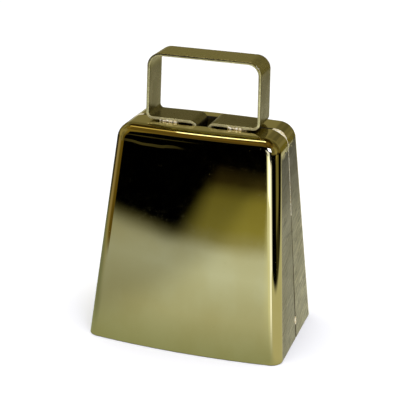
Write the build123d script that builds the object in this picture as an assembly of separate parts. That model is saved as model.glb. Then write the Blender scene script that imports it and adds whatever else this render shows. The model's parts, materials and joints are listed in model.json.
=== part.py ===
"""A hand cowbell: two pressed half shells brazed along a seam, a flat strap handle whose tails pass
down through a slot in the crown, and a clapper that hangs from a pin through those tails.

Millimetres. +Z is up, the front face looks along -Y, X runs across the width.
The origin is the centre of the mouth, on the plane that the rim stands on."""

from build123d import *
import math
import os

# Bell body
MOUTH_WIDTH = 89.8  # across the side walls at the rim
MOUTH_DEPTH = 65.4  # across the faces at the rim, on the centre line
CROWN_WIDTH = 72.2  # across the side walls, at the crown's height
CROWN_DEPTH = 36.6  # across the faces, at the crown's height
BODY_HEIGHT = 97.0
SHEET = 1.0
FACE_RADIUS = 330.0  # slight barrel of the front and rear faces
SHOULDER_RADIUS = 7.8  # between the crown and each side wall
EDGE_RADIUS = 5.4  # press radius all round each face

# Seam between the two half shells
SEAM_HAIRLINE = 0.3  # gap that the braze fills
SEAM_AT_MOUTH = 1.3  # the side seam springs open towards the mouth
SEAM_OPEN_BELOW = 58.0  # height at which the side braze stops
CROWN_SLIT = 1.2  # open slit along the crown
CROWN_SLIT_END = 29.5  # half the slit's length
BEAD_WIDTH = 2.6  # braze bead inside the shell
BEAD_HEIGHT = 0.6
TACK_LOW, TACK_HIGH = 6.5, 10.5  # tack across the open seam, just above the rim
TACK_WIDTH = 2.8
TACK_PROUD = 0.4

# Handle strap
TOTAL_HEIGHT = 127.0
STRAP_WIDTH = 15.6
STRAP = 1.2
LOOP_TOP_WIDTH = 50.4
LOOP_FOOT_WIDTH = 51.4
LOOP_RADIUS = 6.0  # outside of the loop's two upper corners
FOOT_RADIUS = 3.0  # outside of its two lower corners
TAIL_RADIUS = 3.2  # outside of the bends into the slot
TAIL_GAP = 4.5  # between the two tails
TAIL_LENGTH = 12.6  # below the crown's top face
TAIL_CORNER = 4.5
STRAP_LIFT = 0.6  # between the crown and the strap's feet
SLOT_CLEARANCE = 0.2
FOOT_BRAZE_LENGTH = 9.0
FOOT_BRAZE_OUT = 0.5  # how far the filler stands out past the strap's edge

# Hanger pin, link and clapper
PIN_RADIUS = 1.6
PIN_DROP = 9.5  # pin axis below the crown's top face
PIN_HEAD_RADIUS = 3.0
PIN_HEAD_HEIGHT = 1.4
LINK_WIRE = 2.6
LINK_PLAY = 0.3  # radial play of the link on its pin
LINK_LENGTH = 6.5  # between the link's two bend centres
ROD = 3.0
EYE_PLAY = 0.45  # radial play of the rod's eye on the link
NECK_RADIUS = 3.0
BALL_RADIUS = 8.5
BALL_CENTRE = 15.5  # height of the striker's centre
BALL_FLAT = 3.2  # radius of the flat at each pole
EYE_END = 200.0  # direction in which the eye's wire stops short of the stem, in degrees
TIP_RADIUS = 2.7  # peened end of the rod
TIP_HEIGHT = 1.3

# Worked out from the sizes above
CUT = 10.0  # how far rough blocks run past what trims them
STRAP_FOOT = BODY_HEIGHT + STRAP_LIFT + STRAP / 2  # strap's middle line over the crown
TAIL_X = TAIL_GAP / 2 + STRAP / 2
TAIL_END = BODY_HEIGHT - TAIL_LENGTH
PIN_Z = BODY_HEIGHT - PIN_DROP
LINK_BEND = PIN_RADIUS + LINK_PLAY + LINK_WIRE / 2
EYE_Z = PIN_Z - LINK_LENGTH - LINK_BEND
EYE_BEND = LINK_WIRE / 2 + EYE_PLAY + ROD / 2


def block(x0, x1, y0, y1, z0, z1):
    """A box between two corners."""
    size = (x1 - x0, y1 - y0, z1 - z0)
    return Pos((x0 + x1) / 2, (y0 + y1) / 2, (z0 + z1) / 2) * Box(*size)


def face_cylinder(side, inset):
    """The barrelled front (side -1) or rear (side 1) face, as a large leaning cylinder."""
    lean = (MOUTH_DEPTH - CROWN_DEPTH) / 2
    along = Vector(0, -side * lean, BODY_HEIGHT).normalized()
    outward = Vector(0, side * BODY_HEIGHT, lean).normalized()
    on_face = Vector(0, side * MOUTH_DEPTH / 2, 0)
    axis = Plane(origin=on_face - outward * FACE_RADIUS, x_dir=(1, 0, 0), z_dir=along)
    return axis * Cylinder(FACE_RADIUS - inset, 4 * BODY_HEIGHT)


def envelope(inset):
    """The bell's outer form, drawn in by inset all over and trimmed at the mouth."""
    flare = (MOUTH_WIDTH - CROWN_WIDTH) / 2 / BODY_HEIGHT
    foot_x = MOUTH_WIDTH / 2 + CUT * flare
    corners = [
        (-foot_x, -CUT),
        (foot_x, -CUT),
        (CROWN_WIDTH / 2, BODY_HEIGHT),
        (-CROWN_WIDTH / 2, BODY_HEIGHT),
    ]
    outline = make_face(Polyline(*corners, close=True))
    top = outline.vertices().sort_by(Axis.Y)[-2:]
    outline = fillet(top, SHOULDER_RADIUS)
    if inset:
        outline = offset(outline, -inset)
    solid = extrude(Plane.XZ * outline, MOUTH_DEPTH, both=True)
    solid = solid & face_cylinder(-1, inset) & face_cylinder(1, inset)
    barrels = solid.faces().filter_by(GeomType.CYLINDER)
    barrels = barrels.filter_by(lambda face: face.radius > FACE_RADIUS / 2)
    edges = [edge for face in barrels for edge in face.edges() if edge.center().Z > 0]
    solid = fillet(edges, EDGE_RADIUS - inset)
    return solid & block(-MOUTH_WIDTH, MOUTH_WIDTH, -MOUTH_DEPTH, MOUTH_DEPTH, 0, 2 * BODY_HEIGHT)


def seam_gap():
    """What the seam leaves open: a hairline, a slit in the crown and sides that spread at the mouth."""
    reach = MOUTH_WIDTH
    half = SEAM_HAIRLINE / 2
    hairline = block(-reach, reach, -half, half, -CUT, TOTAL_HEIGHT)
    slit = block(
        -CROWN_SLIT_END, CROWN_SLIT_END, -CROWN_SLIT / 2, CROWN_SLIT / 2, PIN_Z, TOTAL_HEIGHT
    )
    corners = [
        (-SEAM_AT_MOUTH / 2, 0),
        (SEAM_AT_MOUTH / 2, 0),
        (half, SEAM_OPEN_BELOW),
        (-half, SEAM_OPEN_BELOW),
    ]
    wedge = make_face(Polyline(*corners, close=True))
    spread = extrude(Plane.YZ * wedge, reach, both=True)
    return hairline + slit + spread


def strap_slot():
    """The slot that the two halves' notches leave for the strap's tails and the start of their bends."""
    bend_x = TAIL_X + TAIL_RADIUS - STRAP / 2
    bend_z = STRAP_FOOT - TAIL_RADIUS + STRAP / 2
    inside = TAIL_RADIUS - STRAP
    x = bend_x - math.sqrt(inside**2 - (BODY_HEIGHT - bend_z) ** 2) + SLOT_CLEARANCE
    y = STRAP_WIDTH / 2 + SLOT_CLEARANCE
    return block(-x, x, -y, y, PIN_Z, TOTAL_HEIGHT)


def front_shell(outer, inner):
    half = block(-MOUTH_WIDTH, MOUTH_WIDTH, -MOUTH_DEPTH, 0, 0, TOTAL_HEIGHT)
    half -= seam_gap()
    half -= strap_slot()
    return (outer - inner) & half


def wall_seam(outer, inner, low, high):
    """Filler in the right-hand seam, through the wall, between two heights."""
    region = block(CROWN_SLIT_END, MOUTH_WIDTH, -CUT, CUT, low, high)
    return (outer - inner) & seam_gap() & region


def seam_braze(outer, inner):
    """Filler from the crown's slit round the shoulder to where the side opens, with a bead inside."""
    region = block(
        CROWN_SLIT_END, MOUTH_WIDTH, -BEAD_WIDTH / 2, BEAD_WIDTH / 2, SEAM_OPEN_BELOW, TOTAL_HEIGHT
    )
    bead = (inner - envelope(SHEET + BEAD_HEIGHT)) & region
    return wall_seam(outer, inner, SEAM_OPEN_BELOW, TOTAL_HEIGHT) + bead


def seam_tack(outer, inner):
    """Short tack across the open seam above the rim, with a button standing out of the wall."""
    flare = math.degrees(math.atan2((MOUTH_WIDTH - CROWN_WIDTH) / 2, BODY_HEIGHT))
    middle = (TACK_LOW + TACK_HIGH) / 2
    wall_x = MOUTH_WIDTH / 2 - middle * math.tan(math.radians(flare))
    button = Pos(0, 0, TACK_PROUD / 2) * Box(TACK_HIGH - TACK_LOW, TACK_WIDTH, TACK_PROUD)
    button = fillet(button.edges().filter_by(Axis.Z), TACK_WIDTH / 2 - 0.1)
    button = chamfer(button.edges().group_by(Axis.Z)[-1], TACK_PROUD / 2)
    button = Pos(wall_x, 0, middle) * Rot(0, 90 - flare, 0) * button
    return wall_seam(outer, inner, TACK_LOW, TACK_HIGH) + button


def strap_path():
    """Middle line of the strap, from the end of one tail round the loop to the end of the other."""
    top_x, foot_x = (LOOP_TOP_WIDTH - STRAP) / 2, (LOOP_FOOT_WIDTH - STRAP) / 2
    top_z = TOTAL_HEIGHT - STRAP / 2
    right = [(TAIL_X, TAIL_END), (TAIL_X, STRAP_FOOT), (foot_x, STRAP_FOOT), (top_x, top_z)]
    left = [(-x, z) for x, z in right]
    loop, foot, tail = (radius - STRAP / 2 for radius in (LOOP_RADIUS, FOOT_RADIUS, TAIL_RADIUS))
    return FilletPolyline(*left, *reversed(right), radius=[tail, foot, loop, loop, foot, tail])


def handle_strap():
    path = Plane.XZ * strap_path()
    start = Plane(origin=path @ 0, z_dir=path % 0)
    strap = sweep(start * Rectangle(STRAP, STRAP_WIDTH), path)
    ends = strap.edges().filter_by(Axis.X)
    ends = ends.filter_by(lambda e: abs(e.center().Z - TAIL_END) < STRAP)
    strap = fillet(ends, TAIL_CORNER)
    hole = Pos(0, 0, PIN_Z) * Rot(0, 90, 0) * Cylinder(PIN_RADIUS, 4 * TAIL_X)
    return strap - hole


def foot_braze():
    """Filler between the right-hand foot of the strap and the crown, standing out past both edges."""
    middle_x = (LOOP_FOOT_WIDTH / 2 + TAIL_X) / 2 + STRAP
    width = STRAP_WIDTH + 2 * FOOT_BRAZE_OUT
    pad = Pos(middle_x, 0, BODY_HEIGHT + STRAP_LIFT / 2) * Box(FOOT_BRAZE_LENGTH, width, STRAP_LIFT)
    return fillet(pad.edges().filter_by(Axis.Z), FOOT_BRAZE_OUT + 1)


def hanger_pin():
    """Pin through both tails, with a domed head formed on each end."""
    shank = Rot(0, 90, 0) * Cylinder(PIN_RADIUS, 2 * TAIL_X + STRAP)
    head = Pos(0, 0, PIN_HEAD_HEIGHT / 2) * Cylinder(PIN_HEAD_RADIUS, PIN_HEAD_HEIGHT)
    head = fillet(head.edges().sort_by(Axis.Z)[-1], PIN_HEAD_HEIGHT * 0.8)
    pin = shank
    for side in (-1, 1):
        pin += Pos(side * (TAIL_X + STRAP / 2), 0, 0) * Rot(0, side * 90, 0) * head
    return Pos(0, 0, PIN_Z) * pin


def clapper_link():
    """Closed wire link, round the pin at its top and through the rod's eye at its foot."""
    low = PIN_Z - LINK_LENGTH
    right = Line((LINK_BEND, low), (LINK_BEND, PIN_Z))
    over = CenterArc((0, PIN_Z), LINK_BEND, 0, 180)
    left = Line((-LINK_BEND, PIN_Z), (-LINK_BEND, low))
    under = CenterArc((0, low), LINK_BEND, 180, 180)
    path = Plane.YZ * Wire([right.edge(), over.edge(), left.edge(), under.edge()])
    section = Plane(origin=(0, LINK_BEND, low), z_dir=(0, 0, 1)) * Circle(LINK_WIRE / 2)
    return sweep(section, path)


def clapper_rod():
    """Wire stem bent into an eye at its top, with the end peened over under the striker."""
    ball_foot = BALL_CENTRE - math.sqrt(BALL_RADIUS**2 - BALL_FLAT**2)
    neck_z = EYE_Z - math.sqrt(EYE_BEND**2 + 2 * EYE_BEND * NECK_RADIUS)
    neck_turn = math.degrees(math.asin((EYE_Z - neck_z) / (EYE_BEND + NECK_RADIUS)))
    stem = Line((0, ball_foot), (0, neck_z))
    neck = CenterArc((NECK_RADIUS, neck_z), NECK_RADIUS, 180, -neck_turn)
    eye = CenterArc((0, EYE_Z), EYE_BEND, -neck_turn, EYE_END + neck_turn)
    path = Plane.XZ * Wire([stem.edge(), neck.edge(), eye.edge()])
    rod = sweep(Plane(origin=(0, 0, ball_foot), z_dir=(0, 0, 1)) * Circle(ROD / 2), path)
    tip = Pos(0, 0, ball_foot - TIP_HEIGHT / 2) * Cylinder(TIP_RADIUS, TIP_HEIGHT)
    tip = fillet(tip.edges().sort_by(Axis.Z)[0], TIP_HEIGHT * 0.7)
    return rod + tip


def clapper_ball():
    """Round striker with a flat at each pole and a bore that the rod is pressed through."""
    half = math.sqrt(BALL_RADIUS**2 - BALL_FLAT**2)
    ball = Sphere(BALL_RADIUS) & Box(4 * BALL_RADIUS, 4 * BALL_RADIUS, 2 * half)
    ball -= Cylinder(ROD / 2, 4 * BALL_RADIUS)
    return Pos(0, 0, BALL_CENTRE) * ball


def build():
    outer, inner = envelope(0), envelope(SHEET)
    front = front_shell(outer, inner)
    right_seam = seam_braze(outer, inner)
    right_tack = seam_tack(outer, inner)
    right_foot = foot_braze()
    return {
        "front_shell": front,
        "rear_shell": mirror(front, Plane.XZ),
        "seam_braze_right": right_seam,
        "seam_braze_left": mirror(right_seam, Plane.YZ),
        "seam_tack_right": right_tack,
        "seam_tack_left": mirror(right_tack, Plane.YZ),
        "handle_strap": handle_strap(),
        "handle_braze_right": right_foot,
        "handle_braze_left": mirror(right_foot, Plane.YZ),
        "hanger_pin": hanger_pin(),
        "clapper_link": clapper_link(),
        "clapper_rod": clapper_rod(),
        "clapper_ball": clapper_ball(),
    }


os.makedirs("parts", exist_ok=True)
for name, shape in build().items():
    export_step(shape, f"parts/{name}.step")
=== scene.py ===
"""Looks of the cowbell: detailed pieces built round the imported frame, their materials and the studio."""
import json
import math
import bpy
import bmesh
import numpy as np
from mathutils import Matrix, Vector, noise


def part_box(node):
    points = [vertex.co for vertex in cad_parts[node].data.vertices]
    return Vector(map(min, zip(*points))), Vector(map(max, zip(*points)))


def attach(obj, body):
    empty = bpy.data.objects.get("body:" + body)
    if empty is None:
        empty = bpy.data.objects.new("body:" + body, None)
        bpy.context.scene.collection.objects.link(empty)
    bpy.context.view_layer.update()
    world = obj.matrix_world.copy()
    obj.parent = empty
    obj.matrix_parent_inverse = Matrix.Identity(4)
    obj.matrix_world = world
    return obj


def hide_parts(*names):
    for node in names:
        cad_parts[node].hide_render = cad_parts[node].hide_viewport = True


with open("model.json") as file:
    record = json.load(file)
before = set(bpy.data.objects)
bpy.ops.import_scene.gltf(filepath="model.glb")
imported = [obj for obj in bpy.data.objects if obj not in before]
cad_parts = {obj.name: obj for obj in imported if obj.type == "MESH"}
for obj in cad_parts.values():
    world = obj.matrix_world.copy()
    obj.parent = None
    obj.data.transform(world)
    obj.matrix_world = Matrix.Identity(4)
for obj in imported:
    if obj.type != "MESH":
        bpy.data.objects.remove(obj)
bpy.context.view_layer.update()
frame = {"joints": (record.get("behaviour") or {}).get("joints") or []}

MM = 0.001

# Bell body, in the frame's own sizes
shell_low, shell_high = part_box("front_shell")
MOUTH_X = shell_high.x  # half the mouth's width
MOUTH_Y = -shell_low.y  # half its depth
CROWN_Z = shell_high.z
CROWN_X = 36.1 * MM  # half the width that the side walls would have at the crown
CROWN_Y = 18.3 * MM  # half the depth that the faces would have there
SHEET = 1.0 * MM
FACE_RADIUS = 330.0 * MM
SHOULDER_RADIUS = 7.8 * MM
EDGE_RADIUS = 5.4 * MM
SEAM_OPEN_BELOW = 58.0 * MM
SEAM_HALF = 0.15 * MM
SEAM_HALF_AT_MOUTH = 0.65 * MM
SLIT_HALF = 0.6 * MM
SLIT_END = 29.5 * MM
SLOT_X = 4.22 * MM
SLOT_Y = 8.0 * MM
SLIT_TAPER = 0.6 * MM  # length over which the crown's slit narrows to the seam
LIP = 0.2 * MM  # rounding of every cut edge of the sheet

# Handle strap
strap_low, strap_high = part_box("handle_strap")
STRAP_HALF = strap_high.y
STRAP = 1.2 * MM
LOOP_TOP_X = 25.2 * MM
LOOP_FOOT_X = 25.7 * MM
LOOP_RADIUS = 6.0 * MM  # outside of the loop's upper corners
FOOT_RADIUS = 3.0 * MM  # outside of its lower corners
TAIL_RADIUS = 3.2 * MM  # outside of the bends into the slot
TAIL_X = 2.85 * MM
TAIL_CORNER = 4.5 * MM
STRAP_LIFT = 0.6 * MM
STRAP_EASE = 0.17 * MM  # rounding of the strap's long corners
STRAP_WAVE = 0.06 * MM  # how far its edges wander

# Hanging parts
PIN = Vector(frame["joints"][0]["pos_m"])
EYE = Vector(frame["joints"][1]["pos_m"])
PIN_RADIUS = 1.6 * MM
PIN_HALF = 3.45 * MM  # half of its shank, between the heads
PIN_HEAD = 3.0 * MM
LINK_WIRE = 1.3 * MM
LINK_BEND = 3.2 * MM
LINK_RUN = 6.5 * MM  # its straight sides
ROD_WIRE = 1.5 * MM
ROD_BEND = 3.25 * MM
ROD_NECK = 3.0 * MM  # radius of the bend from the stem into the eye
ROD_FOOT = 7.6 * MM
BALL_RADIUS = 8.5 * MM
BALL_FLAT = 3.2 * MM  # radius of the flat at each pole
BALL_Z = 15.5 * MM


# ---------------------------------------------------------------- meshes

def mesh_piece(name, points, faces, materials, attributes=None, slots=None):
    """A smooth-shaded object from points and faces, with named values kept at its points."""
    mesh = bpy.data.meshes.new(name)
    mesh.from_pydata([tuple(p) for p in points], [], [tuple(f) for f in faces])
    for material in materials:
        mesh.materials.append(material)
    if slots is not None:
        mesh.polygons.foreach_set("material_index", slots)
    mesh.polygons.foreach_set("use_smooth", [True] * len(mesh.polygons))
    for key, values in (attributes or {}).items():
        layer = mesh.attributes.new(key, "FLOAT", "POINT")
        layer.data.foreach_set("value", np.asarray(values, np.float32))
    mesh.update()
    piece = bpy.data.objects.new(name, mesh)
    bpy.context.scene.collection.objects.link(piece)
    return piece


def place(piece, body, slot, *nodes):
    """Hangs a piece on the body it rides on and hides the frame's nodes it stands for; slot is not used."""
    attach(piece, body)
    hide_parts(*nodes)


def rough(point, period, seed=0.0):
    """Smooth noise from -1 to 1 at a point, with features about as long as period."""
    return noise.noise(Vector(point) / period + Vector((seed, 2.7 * seed, -1.3 * seed)))


# ---------------------------------------------------------------- half shells

flare = math.atan2(MOUTH_X - CROWN_X, CROWN_Z)
lean = math.atan2(MOUTH_Y - CROWN_Y, CROWN_Z)
side_normal = np.array([math.cos(flare), math.sin(flare)])
shoulder_z = CROWN_Z - SHOULDER_RADIUS
shoulder_x = (
    side_normal[0] * MOUTH_X - SHOULDER_RADIUS - side_normal[1] * shoulder_z
) / side_normal[0]
side_top_z = shoulder_z + SHOULDER_RADIUS * side_normal[1]

# How finely the outline is divided, from a foot up the side and round the shoulder to the slot
SIDE_SHARES = np.concatenate([[0, 0.004, 0.012, 0.03], np.linspace(0.06, 1, 44)])
ARC_STEPS = 24
CROWN_STEPS = 13
PRESS_STEPS = 16
EDGE_RINGS = (0.03, 0.1, 0.2, 0.8, 0.9, 0.97)  # where rings lie through the sheet's cut edge
OFF_FLANGE = -9.0  # the marks' value away from the side walls
CORNER = len(SIDE_SHARES) - 1 + ARC_STEPS // 2  # middle of the shoulder
SLOT_COLUMN = len(SIDE_SHARES) - 1 + ARC_STEPS + CROWN_STEPS
SLOT_LINE = 7  # the line along the flange where the slot ends


def face_point(x, z, inset):
    """Depth and outward normal of the front face, drawn in by inset, at places across it."""
    out = np.array([0.0, -math.cos(lean), math.sin(lean)])
    along = np.array([0.0, math.sin(lean), math.cos(lean)])
    drop = np.sqrt((FACE_RADIUS - inset) ** 2 - x**2) - FACE_RADIUS
    rise = (z - drop * out[2]) / along[2]
    y = -MOUTH_Y + drop * out[1] + rise * along[1]
    across = x / (FACE_RADIUS - inset)
    outward = (drop + FACE_RADIUS) / (FACE_RADIUS - inset)
    normal = np.stack([across, outward * out[1], outward * out[2]], axis=-1)
    return y, normal


def half_outline(foot):
    """The right half of the shell's outline seen from the front, from its foot up to the crown's middle."""
    z = foot + (side_top_z - foot) * SIDE_SHARES
    x = MOUTH_X - z * math.tan(flare)
    side = np.stack([x, z, np.full_like(z, side_normal[0]), np.full_like(z, side_normal[1])], -1)
    turn = np.linspace(flare, math.pi / 2, ARC_STEPS + 1)[1:]
    c, s = np.cos(turn), np.sin(turn)
    arc = np.stack([shoulder_x + SHOULDER_RADIUS * c, shoulder_z + SHOULDER_RADIUS * s, c, s], -1)
    slot = SLOT_X + LIP
    x = np.concatenate([np.linspace(shoulder_x, slot, CROWN_STEPS + 1)[1:], np.linspace(slot, 0, 4)[1:]])
    crown = np.stack([x, np.full_like(x, CROWN_Z), np.zeros_like(x), np.ones_like(x)], -1)
    return np.concatenate([side, arc, crown])


def outline(foot):
    """The whole outline, from the left foot over the crown to the right foot: x, z and outward normal."""
    right = half_outline(foot)
    left = right[:-1] * np.array([-1, 1, -1, 1])
    return np.concatenate([left, right[::-1]])


def seam_half(x, z):
    """Half the gap that the seam leaves at a place on the outline."""
    slit = np.clip((SLIT_END - np.abs(x)) / SLIT_TAPER, 0, 1) * (z > shoulder_z)
    spread = np.clip(1 - z / SEAM_OPEN_BELOW, 0, 1)
    return SEAM_HALF + (SLIT_HALF - SEAM_HALF) * slit + (SEAM_HALF_AT_MOUTH - SEAM_HALF) * spread


def flange_shares():
    """Where the lines along the flange lie, from the seam to the start of the press radius."""
    slot = (SLOT_Y - SLIT_HALF) / (crown_edge_y() - SLIT_HALF - LIP)
    to_slot = np.linspace(0.12, slot, SLOT_LINE - 2)
    return np.concatenate([[0, 0.02, 0.06], to_slot, np.linspace(slot, 1, 7)[1:]])


def crown_edge_y():
    """How far from the seam the crown's flange runs before the press radius begins."""
    y, _ = face_point(np.array([SLOT_X]), np.array([CROWN_Z - EDGE_RADIUS]), EDGE_RADIUS)
    return -float(y[0])


def strip_row(foot, share, turn, inset):
    """One line along the outline: share places it on the flange, turn on the press radius."""
    x, z, nx, nz = outline(foot).T
    cx, cz = x - EDGE_RADIUS * nx, z - EDGE_RADIUS * nz
    cy, face_normal = face_point(cx, cz, EDGE_RADIUS)
    side = np.stack([nx, np.zeros_like(nx), nz], -1)
    spread = np.arccos(np.clip((side * face_normal).sum(-1), -1, 1))[:, None]
    normal = (np.sin((1 - turn) * spread) * side + np.sin(turn * spread) * face_normal) / np.sin(spread)
    point = np.stack([cx, cy, cz], -1) + (EDGE_RADIUS - inset) * normal
    edge = -seam_half(x, z) - LIP
    point[:, 1] += (1 - share) * (edge - cy)
    return point, normal


def strip(inset):
    """Grid of points and normals over the flange and press radius, trimmed level at the mouth."""
    turns = np.linspace(0, 1, PRESS_STEPS + 1)[1:]
    lines = [(share, 0.0) for share in flange_shares()] + [(1.0, turn) for turn in turns]
    points, normals = [], []
    for share, turn in lines:
        foot = 0.0
        for _ in range(4):  # each round brings the line's foot closer to the mouth's plane
            point, normal = strip_row(foot, share, turn, inset)
            foot += LIP - point[0, 2]
        points.append(point)
        normals.append(normal)
    return np.array(points), np.array(normals)


def panel(ring, inset):
    """Grid over the face, spanned between the press radius on three sides and the mouth."""
    left, top = ring[: CORNER + 1], ring[CORNER : len(ring) - CORNER]
    right = ring[::-1][: CORNER + 1]
    across = ((top[:, 0] - top[0, 0]) / (top[-1, 0] - top[0, 0]))[:, None]
    head = left[-1] + (right[-1] - left[-1]) * across
    climb = (left[:, 2] - left[0, 2]) / (left[-1, 2] - left[0, 2])
    grid = np.array([a + (b - a) * across + (top - head) * v for a, b, v in zip(left, right, climb)])
    grid[..., 1], normals = face_point(grid[..., 0], grid[..., 2], inset)
    return grid, normals


def shell_skin(inset):
    """Points of one skin of the front shell, strip first and then the rest of the panel."""
    strip_points, _ = strip(inset)
    panel_points, _ = panel(strip_points[-1], inset)
    return np.concatenate([strip_points.reshape(-1, 3), panel_points[:-1, 1:-1].reshape(-1, 3)])


def shell_indices(lines, columns):
    """Index of each point of the strip and of the panel in the skin's list of points."""
    across = np.arange(lines * columns).reshape(lines, columns)
    rows, width = CORNER + 1, columns - 2 * CORNER
    over = np.zeros((rows, width), int)
    over[:-1, 1:-1] = lines * columns + np.arange((rows - 1) * (width - 2)).reshape(rows - 1, width - 2)
    over[:, 0] = across[-1, : CORNER + 1]
    over[:, -1] = across[-1, ::-1][: CORNER + 1]
    over[-1, :] = across[-1, CORNER : columns - CORNER]
    return across, over


def shell_border(across, over):
    """The skin's border as one loop of points, each with the direction out of the sheet there."""
    left, right = SLOT_COLUMN, across.shape[1] - 1 - SLOT_COLUMN
    rim = [*across[:, 0], *over[0, 1:-1], *across[::-1, -1]]
    runs = [
        (rim, (0, 0, -1)),
        (across[0, right:][::-1], (0, 1, 0)),
        (across[: SLOT_LINE + 1, right], (-1, 0, 0)),
        (across[SLOT_LINE, left : right + 1][::-1], (0, 1, 0)),
        (across[: SLOT_LINE + 1, left][::-1], (1, 0, 0)),
        (across[0, : left + 1][::-1], (0, 1, 0)),
    ]
    out = {}
    for run, direction in runs:
        for index in run:
            out[int(index)] = out.get(int(index), np.zeros(3)) + direction
    return list(out), np.array(list(out.values()))


def quads(grid, flip=False):
    """Faces between neighbouring points of a grid of indices."""
    corners = [grid[:-1, :-1], grid[:-1, 1:], grid[1:, 1:], grid[1:, :-1]]
    faces = np.stack([c.ravel() for c in corners], -1)
    return faces[:, ::-1] if flip else faces


def half_shell(name, side, materials):
    """A half shell of sheet with rounded cut edges; side is -1 for the front one and 1 for the rear."""
    outer, inner = shell_skin(0.0), shell_skin(SHEET)
    lines, columns = strip(0.0)[0].shape[:2]
    across, over = shell_indices(lines, columns)
    keep = quads(across, flip=True)
    slot = np.zeros((lines - 1, columns - 1), bool)
    slot[:SLOT_LINE, SLOT_COLUMN : columns - 1 - SLOT_COLUMN] = True
    skin = np.concatenate([keep[~slot.ravel()], quads(over)])
    loop, out = shell_border(across, over)
    rows = [loop]
    points = [outer, inner]
    count = 2 * len(outer)
    for deep in EDGE_RINGS:
        gap = min(deep, 1 - deep) * SHEET
        reach = math.sqrt(max(0.0, LIP**2 - max(0.0, LIP - gap) ** 2))
        points.append(outer[loop] + (inner[loop] - outer[loop]) * deep + out * reach)
        rows.append(list(range(count, count + len(loop))))
        count += len(loop)
    rows.append([index + len(outer) for index in loop])
    edge = quads(np.array([row + row[:1] for row in rows]), flip=True)
    faces = np.concatenate([skin, skin[:, ::-1] + len(outer), edge])
    points = np.concatenate(points)
    if side > 0:
        points[:, 1] *= -1
        faces = faces[:, ::-1]
    slots = [0] * len(skin) + [1] * len(skin) + [2] * len(edge)
    marks = shell_marks(outer, lines, columns, len(points))
    return mesh_piece(name, points, faces, materials, marks, slots)


def shell_marks(outer, lines, columns, total):
    """How far inside the flat of the flange each outer point lies, and how far below the shoulder, in mm."""
    flange = len(flange_shares())
    depth = np.abs(outer[: lines * columns, 1]).reshape(lines, columns)
    inside = np.full(total, OFF_FLANGE)
    strip_marks = (depth[flange - 1] - depth) / MM
    strip_marks[flange:] = -np.arange(1, lines - flange + 1)[:, None] * 0.5
    inside[: lines * columns] = strip_marks.ravel()
    below = np.full(total, OFF_FLANGE)
    below[: len(outer)] = (side_top_z - outer[:, 2]) / MM
    return {"from_edge": inside, "from_shoulder": below}


# ---------------------------------------------------------------- bent and turned pieces

def bent_path(corners, radii, step):
    """A flat path of straight runs joined by arcs: points and directions, two values each."""
    corners = [np.array(c, float) for c in corners]
    points, directions = [], []
    start = corners[0]
    for i, radius in enumerate(radii, 1):
        before = corners[i] - corners[i - 1]
        after = corners[i + 1] - corners[i]
        before, after = before / np.linalg.norm(before), after / np.linalg.norm(after)
        turn = math.atan2(before[0] * after[1] - before[1] * after[0], before @ after)
        reach = radius * math.tan(abs(turn) / 2)
        add_run(points, directions, start, corners[i] - before * reach, step)
        centre = corners[i] - before * reach + math.copysign(radius, turn) * np.array([-before[1], before[0]])
        spoke = (corners[i] - before * reach) - centre
        steps = max(6, round(abs(turn) / math.radians(6)))
        for k in range(1, steps):
            c, s = math.cos(turn * k / steps), math.sin(turn * k / steps)
            spin = np.array([[c, -s], [s, c]])
            points.append(centre + spin @ spoke)
            directions.append(spin @ before)
        start = corners[i] + after * reach
    add_run(points, directions, start, corners[-1], step)
    return np.array(points), np.array(directions)


def add_run(points, directions, start, end, step):
    """Adds the points of a straight run to a path."""
    length = np.linalg.norm(end - start)
    steps = max(1, round(length / step))
    for k in range(steps + 1):
        points.append(start + (end - start) * k / steps)
        directions.append((end - start) / length)


def upright(flat, axis):
    """Flat points or directions stood up in the plane across an axis, 0 for X and 1 for Y."""
    return np.insert(np.asarray(flat, float), axis, 0.0, axis=1)


def ring_grid(rings, count):
    """Indices of the points of some rings of count points, each ring closed by its first point."""
    grid = np.arange(rings * count).reshape(rings, count)
    return np.concatenate([grid, grid[:, :1]], 1)


def sweep(points, directions, side, section, scales=None, closed=False):
    """Points and faces of a section carried along a flat path; side is the plane's normal.

    The section's first value is measured along side and its second across the path."""
    rings = []
    for k, (point, direction) in enumerate(zip(points, directions)):
        across = np.cross(direction, side)
        wide, thick = scales[k] if scales is not None else (1, 1)
        rings.append(point + section[:, :1] * wide * side + section[:, 1:] * thick * across)
    grid = ring_grid(len(rings), len(section))
    if closed:
        return np.concatenate(rings), list(quads(np.concatenate([grid, grid[:1]])))
    ends = [grid[0, :-1][::-1], grid[-1, :-1]]
    return np.concatenate(rings), [*quads(grid), *ends]


def lathe(profile, segments, centre, axis):
    """Points and faces of a profile of (radius, distance along the axis) turned about the axis."""
    axis = np.array(axis, float)
    first = np.array([axis[1], axis[2], axis[0]])
    second = np.cross(axis, first)
    turns = np.linspace(0, 2 * math.pi, segments, endpoint=False)
    spokes = np.cos(turns)[:, None] * first + np.sin(turns)[:, None] * second
    points = np.concatenate([centre + radius * spokes + along * axis for radius, along in profile])
    grid = ring_grid(len(profile), segments)
    return points, [*quads(grid, flip=True), grid[0, :-1], grid[-1, :-1][::-1]]


def round_section(radius, sides=28):
    """A round wire's section."""
    turns = np.linspace(0, 2 * math.pi, sides, endpoint=False)
    return radius * np.stack([np.cos(turns), np.sin(turns)], -1)


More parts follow.
